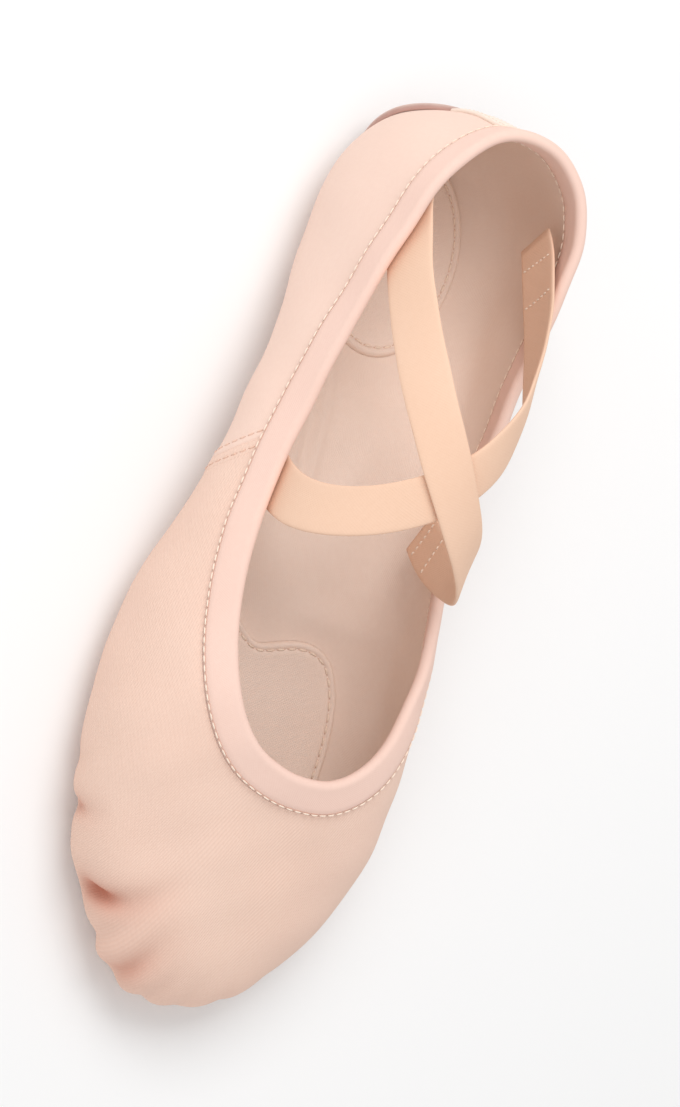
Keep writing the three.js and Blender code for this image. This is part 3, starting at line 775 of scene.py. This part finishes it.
def land(targets, origin, first, second):
    """Place and distance down of the canvas points that a flat plane's targets fall on, along its normal: the
    nearest worked out point that faces back along the normal, then three steps of Newton's method on the
    plane's two coordinates."""
    toward = np.cross(first, second)
    seen = last_out @ toward < -0.02
    flat = np.stack([(last - origin) @ first, (last - origin) @ second], -1)
    low, high = targets.min(0) - 3 * mm, targets.max(0) + 3 * mm
    near = seen & np.all((flat > low) & (flat < high), axis=-1)
    column, row = [index.astype(float) for index in np.nonzero(near)]
    known = flat[near].astype(np.float32)
    pick = []
    for chunk in np.array_split(targets.astype(np.float32), max(1, len(targets) // 200)):
        away = ((chunk[:, None] - known) ** 2).sum(-1)
        pick.append(away.argmin(1))
    pick = np.concatenate(pick)
    column, row = column[pick], row[pick]
    last_row = skin_rows - 1

    def come_up(column, row):
        """Rows past the middle of the sole, counted back up the opposite line."""
        over = row > last_row
        return np.where(over, -column, column), np.where(over, 2 * last_row - row, row)

    def on_plane(column, row):
        """The plane's two coordinates of the canvas at a column and row."""
        column, row = come_up(column, row)
        place = column / places_per_section
        point, _ = skin(place, row * length_at(place) / last_row)
        return np.stack([(point - origin) @ first, (point - origin) @ second], -1)

    def crossed(one, other):
        """Area between pairs of vectors on the plane."""
        return one[:, 0] * other[:, 1] - one[:, 1] * other[:, 0]

    for _ in range(3):
        gap = targets - on_plane(column, row)
        by_column = on_plane(column + 0.5, row) - on_plane(column - 0.5, row)
        by_row = on_plane(column, row + 0.5) - on_plane(column, row - 0.5)
        area = crossed(by_column, by_row)
        area = np.where(np.abs(area) < 1e-12, 1e-12, area)
        column_step = np.clip(crossed(gap, by_row) / area, -3, 3)
        row_step = np.clip(crossed(by_column, gap) / area, -3, 3)
        column, row = come_up(column + column_step, row + row_step)
    place = (column / places_per_section) % loop
    return place, row * length_at(place) / last_row


def moved_in(outline, distance):
    """A closed outline moved inwards by a distance, along its normals."""
    tangent = unit(np.roll(outline, -1, 0) - np.roll(outline, 1, 0))
    normal = np.stack([-tangent[:, 1], tangent[:, 0]], -1)
    inward = np.sign(((outline.mean(0) - outline) * normal).sum(-1).mean())
    return outline + inward * distance * normal


def pad_grid(outline, plane, near, far, row_inset, groove, rings=16, round_edge=1.0 * mm, floor=None):
    """A pad on the canvas: rings from the middle of an outline to near its edge, then evenly inset rings at
    distance far from the canvas, a quarter circle over the edge, and back under it at distance near. It is
    worn flat at the floor and pressed in by a bell curve under the stitches. Its cloth places are the
    distance to the edge and the turn."""
    insets = np.array([1.6, 1.3, 1.15, 1.08, 1.0, 0.92, 0.85, 0.7]) * row_inset
    insets = np.concatenate([insets, round_edge * (1 - np.sin(np.linspace(0, math.pi / 2, 6)))])
    inner = moved_in(outline, row_inset * 1.8)
    centre = inner.mean(0)
    share = np.linspace(0.03, 1, rings)[:, None, None]
    rim = np.stack([moved_in(outline, inset) for inset in insets])
    targets = np.concatenate([centre + share * (inner - centre), rim])
    place, down = land(targets.reshape(-1, 2), *plane)
    to_edge = np.concatenate([(1 - share[:, 0, 0]) * 8 * mm + row_inset * 1.8, insets])
    out = near + (far - near) * np.sqrt(1 - (1 - np.clip(to_edge / round_edge, 0, 1)) ** 2)
    pressed = np.sign(far) * groove * np.exp(-(((to_edge - row_inset) / (0.22 * row_inset)) ** 2))
    face, way = skin(place, down, np.repeat(out, len(outline)))
    if floor is not None:
        face[:, 2] = np.maximum(face[:, 2], floor)
    face = face - way * np.repeat(pressed, len(outline))[:, None]
    back, _ = skin(place, down, near)
    shape = (*targets.shape[:2], 3)
    back_rows = np.arange(len(targets))[::-1][2::4]
    turn = np.arange(len(outline) + 1) / len(outline)
    cloth = np.stack(np.broadcast_arrays(np.append(to_edge, to_edge[back_rows])[:, None], turn), -1)
    plan = np.concatenate([targets, targets[back_rows]])
    return np.concatenate([face.reshape(shape), back.reshape(shape)[back_rows]]), cloth, plan


def pad_row(outline, plane, inset, out):
    """The path of a row of stitches, inset from the edge of a pad, and its outward directions."""
    row = moved_in(outline, inset)
    row = np.concatenate([row, row[:1]])
    place, down = land(row, *plane)
    points, ways = skin(place, down, out)
    return points, ways * np.sign(out)


def suede_material(name, light, shade, edge):
    """Split suede: greyed pink nap with mottled patches and short brushed fibres, without gloss, and darker
    at its cut edge."""
    material, tree, shader = new_material(name, Specular_IOR_Level=0.15, Sheen_Weight=0.35,
                                          Sheen_Roughness=0.6, Sheen_Tint=linear(*light))
    body = node(tree, "ShaderNodeTexCoord", (-1200, 0))
    patches = node(tree, "ShaderNodeTexNoise", (-800, 200), Vector=body.outputs["Object"], Scale=130.0,
                   Detail=4.0)
    brushed = node(tree, "ShaderNodeMapping", (-1000, 0), Vector=body.outputs["Object"], Scale=(0.45, 1, 1))
    nap = node(tree, "ShaderNodeTexNoise", (-800, 0), Vector=brushed.outputs[0], Scale=1500.0, Detail=3.0)
    mixed = math_node(tree, "MULTIPLY_ADD", patches.outputs[0], 0.8, -0.15)
    mixed = math_node(tree, "MULTIPLY_ADD", nap.outputs[0], 0.5, mixed)
    tone = colour_mix(tree, (-300, 100), mixed, light, shade)
    place = node(tree, "ShaderNodeUVMap", (-1200, 500), {"uv_map": "cloth"})
    to_edge = node(tree, "ShaderNodeSeparateXYZ", (-1000, 500), Vector=place.outputs[0])
    ragged = math_node(tree, "MULTIPLY_ADD", patches.outputs[0], 0.8 * mm, to_edge.outputs[0])
    rim = node(tree, "ShaderNodeMapRange", (-600, 500), {"interpolation_type": "SMOOTHSTEP"}, Value=ragged,
               From_Min=0.5 * mm, From_Max=1.1 * mm, To_Min=1.0, To_Max=0.0)
    edged = colour_mix(tree, (-100, 200), rim.outputs[0], tone, edge)
    tree.links.new(edged, shader.inputs["Base Color"])
    tree.links.new(math_node(tree, "MULTIPLY_ADD", nap.outputs[0], 0.1, 0.88), shader.inputs["Roughness"])
    bump = node(tree, "ShaderNodeBump", (-300, -300), Strength=0.7, Distance=0.25 * mm, Height=nap.outputs[0])
    tree.links.new(bump.outputs[0], shader.inputs["Normal"])
    return material


pink_suede = suede_material("pink_suede", (224, 201, 191), (200, 174, 164), (184, 146, 136))
heel_point = np.array([heel_x, middle_y, 0.0])
floor_plane = (heel_point, np.array([1.0, 0, 0]), np.array([0, 1.0, 0]))
patch_row = 2.5 * mm
patch_groove = 0.45 * mm
patch_near = 0.1 * mm
patch_far = clearance + suede
ball_rear = sole_patch["rear"] * length
ball_outline = forefoot_outline(ball_rear, sole_patch["front"] * length)
ball_points, ball_cloth, _ = pad_grid(ball_outline, floor_plane, patch_near, patch_far, patch_row,
                                      patch_groove, rings=20, floor=0.0)
ball_suede = new_piece("ball_suede", ball_points, pink_suede, ball_cloth, capped=True)
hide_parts("forefoot_sole_patch")

tilt = heel_patch["tilt"]
heel_reach = heel_patch["length"] / 2
heel_middle = heel_point + np.array([heel_reach * math.cos(tilt), 0, heel_reach * math.sin(tilt)])
heel_plane = (heel_middle, np.array([math.cos(tilt), 0, -math.sin(tilt)]), np.array([0, 1.0, 0]))
corner_angle = np.linspace(0, 2 * math.pi, 160, endpoint=False)
corner = np.stack([np.cos(corner_angle), np.sin(corner_angle)], -1)
corner_power = np.where(corner[:, 0] < 0, 0.9, 0.6)
heel_outline = np.sign(corner) * np.abs(corner) ** corner_power[:, None]
heel_outline *= (heel_reach, heel_patch["width"] / 2)
heel_points, heel_cloth, _ = pad_grid(heel_outline, heel_plane, patch_near, patch_far, patch_row,
                                      patch_groove, floor=0.0)
heel_suede = new_piece("heel_suede", heel_points, pink_suede, heel_cloth, capped=True)
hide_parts("heel_sole_patch")


def floor_row(row):
    """A row of stitches on a patch, lifted into its groove where the suede is worn flat at the floor."""
    points, ways = row
    lifted = points.copy()
    lifted[:, 2] = np.maximum(lifted[:, 2], 0.42 * mm)
    return lifted, ways


stitches("patch_stitches", [
    floor_row(pad_row(ball_outline, floor_plane, patch_row, patch_far - 0.2 * mm)),
    floor_row(pad_row(heel_outline, heel_plane, patch_row, patch_far - 0.2 * mm)),
], suede_thread, pitch=2.85 * mm, gap=0.9 * mm, thread=0.5 * mm)

# Tapes: a wide cream one over the back seam, from binding to heel patch, and a narrow one of canvas over the
# seam under the arch, from patch to patch. Both are stitched down along their length.
seam_tape = 0.7 * mm
heel_tape_width = 16 * mm
arch_tape_width = 6 * mm
tape_cloth = cloth_material("tape_cloth", (254, 239, 226), (246, 223, 207), 0.7 * mm, 0.0, 0.06 * mm)


def taped(targets, plane, out):
    """Points of the canvas under a grid of plane targets, moved out, with their places round and down."""
    place, down = land(targets.reshape(-1, 2), *plane)
    out = np.broadcast_to(out, targets.shape[:2]).ravel()
    points, ways = skin(place, down, out)
    shape = targets.shape[:2]
    return points.reshape(*shape, 3), ways.reshape(*shape, 3), place.reshape(shape), down.reshape(shape)


def tape_height(offset, half, rows):
    """Height of a tape above the canvas: flat, round at its two edges, and pressed in under its stitches."""
    to_edge = np.clip((half - np.abs(offset)) / (0.5 * mm), 0, 1)
    pressed = sum(np.exp(-(((offset - row) / (0.4 * mm)) ** 2)) for row in rows)
    return 0.05 * mm + (clearance + seam_tape) * np.sqrt(1 - (1 - to_edge) ** 2) - 0.12 * mm * pressed


back_plane = (heel_point, np.array([0, 1.0, 0]), np.array([0, 0, 1.0]))
top_line, _ = skin(np.linspace(-1.4, 1.4, 57), binding_width - 0.3 * mm)
rim_place, rim_down = land(heel_outline, *heel_plane)
rim_line, _ = skin(rim_place, rim_down)
rim_line = rim_line[corner[:, 0] < 0]
rim_line = rim_line[np.argsort(rim_line[:, 1])]


def back_targets(offset):
    """Targets behind the heel: from the patch's upper edge to the binding, at offsets from the middle."""
    share = np.linspace(0, 1, 61)[:, None]
    low = np.interp(offset + middle_y, rim_line[:, 1], rim_line[:, 2]) + 0.2 * mm
    high = np.interp(offset + middle_y, top_line[:, 1], top_line[:, 2])
    across = np.broadcast_to(offset, (len(share), len(offset)))
    return np.stack([across, low + share * (high - low)], -1)


def arch_targets(offset):
    """Targets under the arch: from the heel patch's front edge to the rear edge of the patch under the ball,
    along the bend of the middle line."""
    share = np.linspace(0, 1, 141)[:, None]
    rear_edge = ball_outline[ball_outline[:, 0] < ball_rear + 2 * sole_patch["dip"]]
    rear_edge = rear_edge[np.argsort(rear_edge[:, 1])]
    x_low = 2 * heel_reach * math.cos(tilt) + 0.2 * mm
    x_high = np.interp(offset + middle_at(ball_rear), rear_edge[:, 1], rear_edge[:, 0]) - 0.2 * mm
    x = x_low + share * (x_high - x_low)
    return np.stack([x, middle_at(x) + offset], -1)


def tape_across(half, rows):
    """Offsets across a tape, closer together at its edges and under its stitches."""
    edges = half - np.array([0, 0.06, 0.16, 0.3, 0.5]) * mm
    near_rows = np.concatenate([row + np.array([-0.6, -0.3, 0, 0.3, 0.6]) * mm for row in rows])
    return np.unique(np.round(np.concatenate([-edges, edges, near_rows]), 6))


for name, stands_for, targets_at, plane, half, rows, material, slot, thread in (
    ("back_tape", "heel_tape", back_targets, back_plane, heel_tape_width / 2,
     np.array([-6.9, -2.3, 2.3, 6.9]) * mm, tape_cloth, "tape", tape_thread),
    ("sole_tape", "arch_tape", arch_targets, floor_plane, arch_tape_width / 2,
     np.array([-2.3, 2.3]) * mm, rear_canvas, "canvas", canvas_thread),
):
    def surface(offset, out):
        """This tape's points, ways and places at offsets from its middle line, moved out."""
        return taped(targets_at(offset), plane, out)

    across = tape_across(half, rows)
    tape = band(name, surface, tape_height(across, half, rows), 0.02 * mm, across, [material])
    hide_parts(stands_for)
    row_points, row_ways, _, _ = surface(rows, tape_height(rows, half, rows))
    stitches(name + "_stitches", [(row_points[:, row], row_ways[:, row]) for row in range(len(rows))], thread,
             pitch=2.2 * mm, gap=1.0 * mm, thread=0.34 * mm)

# Insole pads: brushed cotton over thin padding, one under ball and toes and one under the heel. A row of
# stitches near the edge sews each of them to the lining.
padding = 1.5 * mm
pad_cloth = cloth_material("pad_cloth", (250, 232, 219), (240, 216, 201), 0.8 * mm, 0.3, 0.08 * mm)
pad_outlines = {
    "ball_pad": forefoot_outline(0.575 * length, 0.925 * length),
    "heel_pad": (0.1525 * length, 0) + corner * (0.1175 * length, heel_patch["width"] / 2),
}
pad_near = -canvas - 0.1 * mm
pad_far = -canvas - clearance - padding
pad_inset = 2.0 * mm
pad_groove = 0.4 * mm
pad_rows = []
for name, stands_for in (("ball_pad", "insole_forefoot"), ("heel_pad", "insole_heel")):
    outline = pad_outlines[name]
    pad_points, _, pad_plan = pad_grid(outline, floor_plane, pad_near, pad_far, pad_inset, pad_groove)
    pad_plan = np.concatenate([pad_plan, pad_plan[:, :1]], axis=1)
    pad = new_piece(name, pad_points, pad_cloth, pad_plan, capped=True)
    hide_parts(stands_for)
    pad_rows.append(pad_row(outline, floor_plane, pad_inset, pad_far + 0.3 * mm))
stitches("pad_stitches", pad_rows, pale_thread, pitch=3.0 * mm, gap=0.5 * mm, thread=0.5 * mm)

# Elastics: two flat straps of woven elastic, which cross on the instep. Their ends go down inside the
# collar, where two rows of stitches each sew them to the binding.
elastic_width = 13 * mm
elastic_thickness = 1.1 * mm
elastic_cross = 0.425
strap_rear = {"along": 0.200, "turn": 0.82, "end": 1.05}
strap_front = {"along": 0.465, "turn": 1.12, "end": 1.38}
instep_height = 78 * mm
strap_inset = canvas + clearance + binding_tape + clearance + elastic_thickness
instep_base = side_height + 5 * mm
quarter_turn = (instep_height - instep_base + heel_width / 2 - strap_inset) * math.pi / 4
elastic_cloth = cloth_material("elastic_cloth", (243, 207, 182), (235, 194, 166), 0.9 * mm, 0.0, 0.08 * mm)


def crest_at(x):
    """Height of the instep's crest: level at the ankle, then falling to the throat by the power 1.5."""
    return instep_height - (instep_height - throat_height) * (np.maximum(x / length - 0.3, 0) / 0.45) ** 1.5


def collar_edge_y(x, side):
    """Breadth place of the collar edge on one side, by straight interpolation along the foot."""
    half = len(last) // 2
    edge = last[:half + 1, 0] if side < 0 else last[half:, 0][::-1]
    return np.interp(x, edge[:, 0] - heel_x, edge[:, 1])


def instep_point(x, turn, out):
    """Points of the round instep that fills the collar: half an ellipse across, which goes straight down past
    a quarter turn, moved out along its normal."""
    angle = np.clip(turn, -1, 1) * math.pi / 2
    outer = collar_edge_y(x, -1) + strap_inset
    inner = collar_edge_y(x, 1) - strap_inset
    half = (inner - outer) / 2
    height = crest_at(x) - instep_base
    slope = (crest_at(x + mm) - crest_at(x - mm)) / (2 * mm)
    past = np.maximum(np.abs(turn) - 1, 0) * quarter_turn
    point = np.stack([x + heel_x, (outer + inner) / 2 + half * np.sin(angle),
                      instep_base + height * np.cos(angle) - past], -1)
    away = unit(np.stack([-slope * np.cos(angle) ** 2 / height, np.sin(angle) / half,
                          np.cos(angle) / height], -1))
    return point + away * out[..., None], away


def strap_path(turn):
    """Where a strap lies along the foot, a parabola through its rear end, the crossing and its front end, and
    how far it is turned there."""
    rise = (elastic_cross - strap_rear["along"]) / strap_rear["turn"]
    fall = (strap_front["along"] - elastic_cross) / strap_front["turn"]
    bend = (fall - rise) / (strap_rear["turn"] + strap_front["turn"])
    lean = rise + bend * strap_rear["turn"]
    slant = np.arctan2(length * (lean + 2 * bend * turn), quarter_turn)
    return length * (elastic_cross + lean * turn + bend * turn**2), slant


def strap_grid(rear_side, step, steps=150, across=21):
    """A flat strap: a section with rounded edges, carried from its rear end on one side over the crest to its
    front end on the other, and lifted over the strap that it crosses."""
    turn = np.linspace(-strap_rear["end"], strap_front["end"], steps)[:, None]
    x, slant = strap_path(turn)
    lift = step * (1 - smoothstep(np.abs(turn), 0.2, 0.7))
    share = np.sin(np.linspace(-1, 1, across) * math.pi / 2)
    offset = share * elastic_width / 2
    half_thick = elastic_thickness / 2 * (1 - np.abs(share) ** 14) ** 0.5
    offset = np.concatenate([offset, offset[-2:0:-1]])
    out = elastic_thickness / 2 + np.concatenate([half_thick, -half_thick[-2:0:-1]])
    across_turn = turn - offset * np.sin(slant) / quarter_turn
    return instep_point(x + offset * np.cos(slant), -rear_side * across_turn, lift + out)[0]


for name, stands_for, rear_side, step in (
    ("strap_under", "elastic_under", 1, 0.0),
    ("strap_over", "elastic_over", -1, elastic_thickness + 2 * clearance),
):
    strap_points = strap_grid(rear_side, step)
    strap_cloth = grid_cloth(strap_points)
    strap = new_piece(name, strap_points, elastic_cloth, strap_cloth, capped=True)
    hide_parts(stands_for)
    end_rows = []
    for end_turn in (-strap_rear["end"] + 0.06, -strap_rear["end"] + 0.16, strap_front["end"] - 0.06,
                     strap_front["end"] - 0.20):
        across = np.linspace(-0.42, 0.42, 12) * elastic_width
        x, slant = strap_path(np.full(12, end_turn))
        turn = end_turn - across * np.sin(slant) / quarter_turn
        points, ways = instep_point(x + across * np.cos(slant), -rear_side * turn, np.zeros(12))
        end_rows.append((points, -ways))
    stitches(name + "_stitches", end_rows, pale_thread, pitch=1.8 * mm, gap=0.4 * mm,
             thread=0.45 * mm)

# Floor, lights and camera: a plain pale floor a tenth of a millimetre under the shoe, a soft light from the
# heel's outer side, a wide and weaker one from the toe's, and a camera at the photograph's angle.
pale, _, _ = new_material("pale_floor", Base_Color=(0.93, 0.93, 0.93, 1), Roughness=0.9)
floor_mesh = bpy.data.meshes.new("floor")
floor_half = 4.0
floor_drop = 0.1 * mm
floor_corners = np.array([(-1, -1, 0), (1, -1, 0), (1, 1, 0), (-1, 1, 0)]) * floor_half
floor_corners[:, 2] = -floor_drop
floor_mesh.from_pydata(floor_corners.tolist(), [], [(0, 1, 2, 3)])
floor_mesh.materials.append(pale)
floor = bpy.data.objects.new("floor", floor_mesh)
bpy.context.scene.collection.objects.link(floor)

world = bpy.data.worlds.new("studio")
bpy.context.scene.world = world
world.use_nodes = True
world.node_tree.nodes["Background"].inputs["Color"].default_value = (1, 1, 1, 1)
world.node_tree.nodes["Background"].inputs["Strength"].default_value = 0.60
bpy.context.scene.view_settings.view_transform = "Standard"

camera_azimuth = math.radians(22)
camera_elevation = math.radians(59)
camera_roll = math.radians(-91)
camera_distance = 1.6
view_height = 0.276
aim = Vector((0.0, 0.0, 0.030))


def facing(azimuth, elevation):
    """Direction from the shoe towards an azimuth, 0 at the outer side and 90 degrees at the toe."""
    return Vector((math.sin(azimuth) * math.cos(elevation), -math.cos(azimuth) * math.cos(elevation),
                   math.sin(elevation)))


def soft_light(name, azimuth, elevation, distance, size, power):
    """A square area light that looks at the shoe."""
    lamp = bpy.data.lights.new(name, "AREA")
    lamp.shape = "SQUARE"
    lamp.size = size
    lamp.energy = power
    holder = bpy.data.objects.new(name, lamp)
    way = facing(math.radians(azimuth), math.radians(elevation))
    holder.location = way * distance
    holder.rotation_euler = way.to_track_quat("Z", "Y").to_euler()
    bpy.context.scene.collection.objects.link(holder)


soft_light("key_light", azimuth=-60, elevation=58, distance=0.9, size=0.6, power=4.2)
soft_light("fill_light", azimuth=60, elevation=50, distance=1.8, size=1.6, power=5)

view = bpy.data.cameras.new("camera")
view.sensor_fit = "VERTICAL"
view.sensor_height = 36
view.lens = 36 * camera_distance / view_height
camera = bpy.data.objects.new("camera", view)
look = facing(camera_azimuth, camera_elevation)
turned = look.to_track_quat("Z", "Y").to_matrix() @ Matrix.Rotation(-camera_roll, 3, "Z")
camera.matrix_world = Matrix.Translation(aim + look * camera_distance) @ turned.to_4x4()
bpy.context.scene.collection.objects.link(camera)
bpy.context.scene.camera = camera
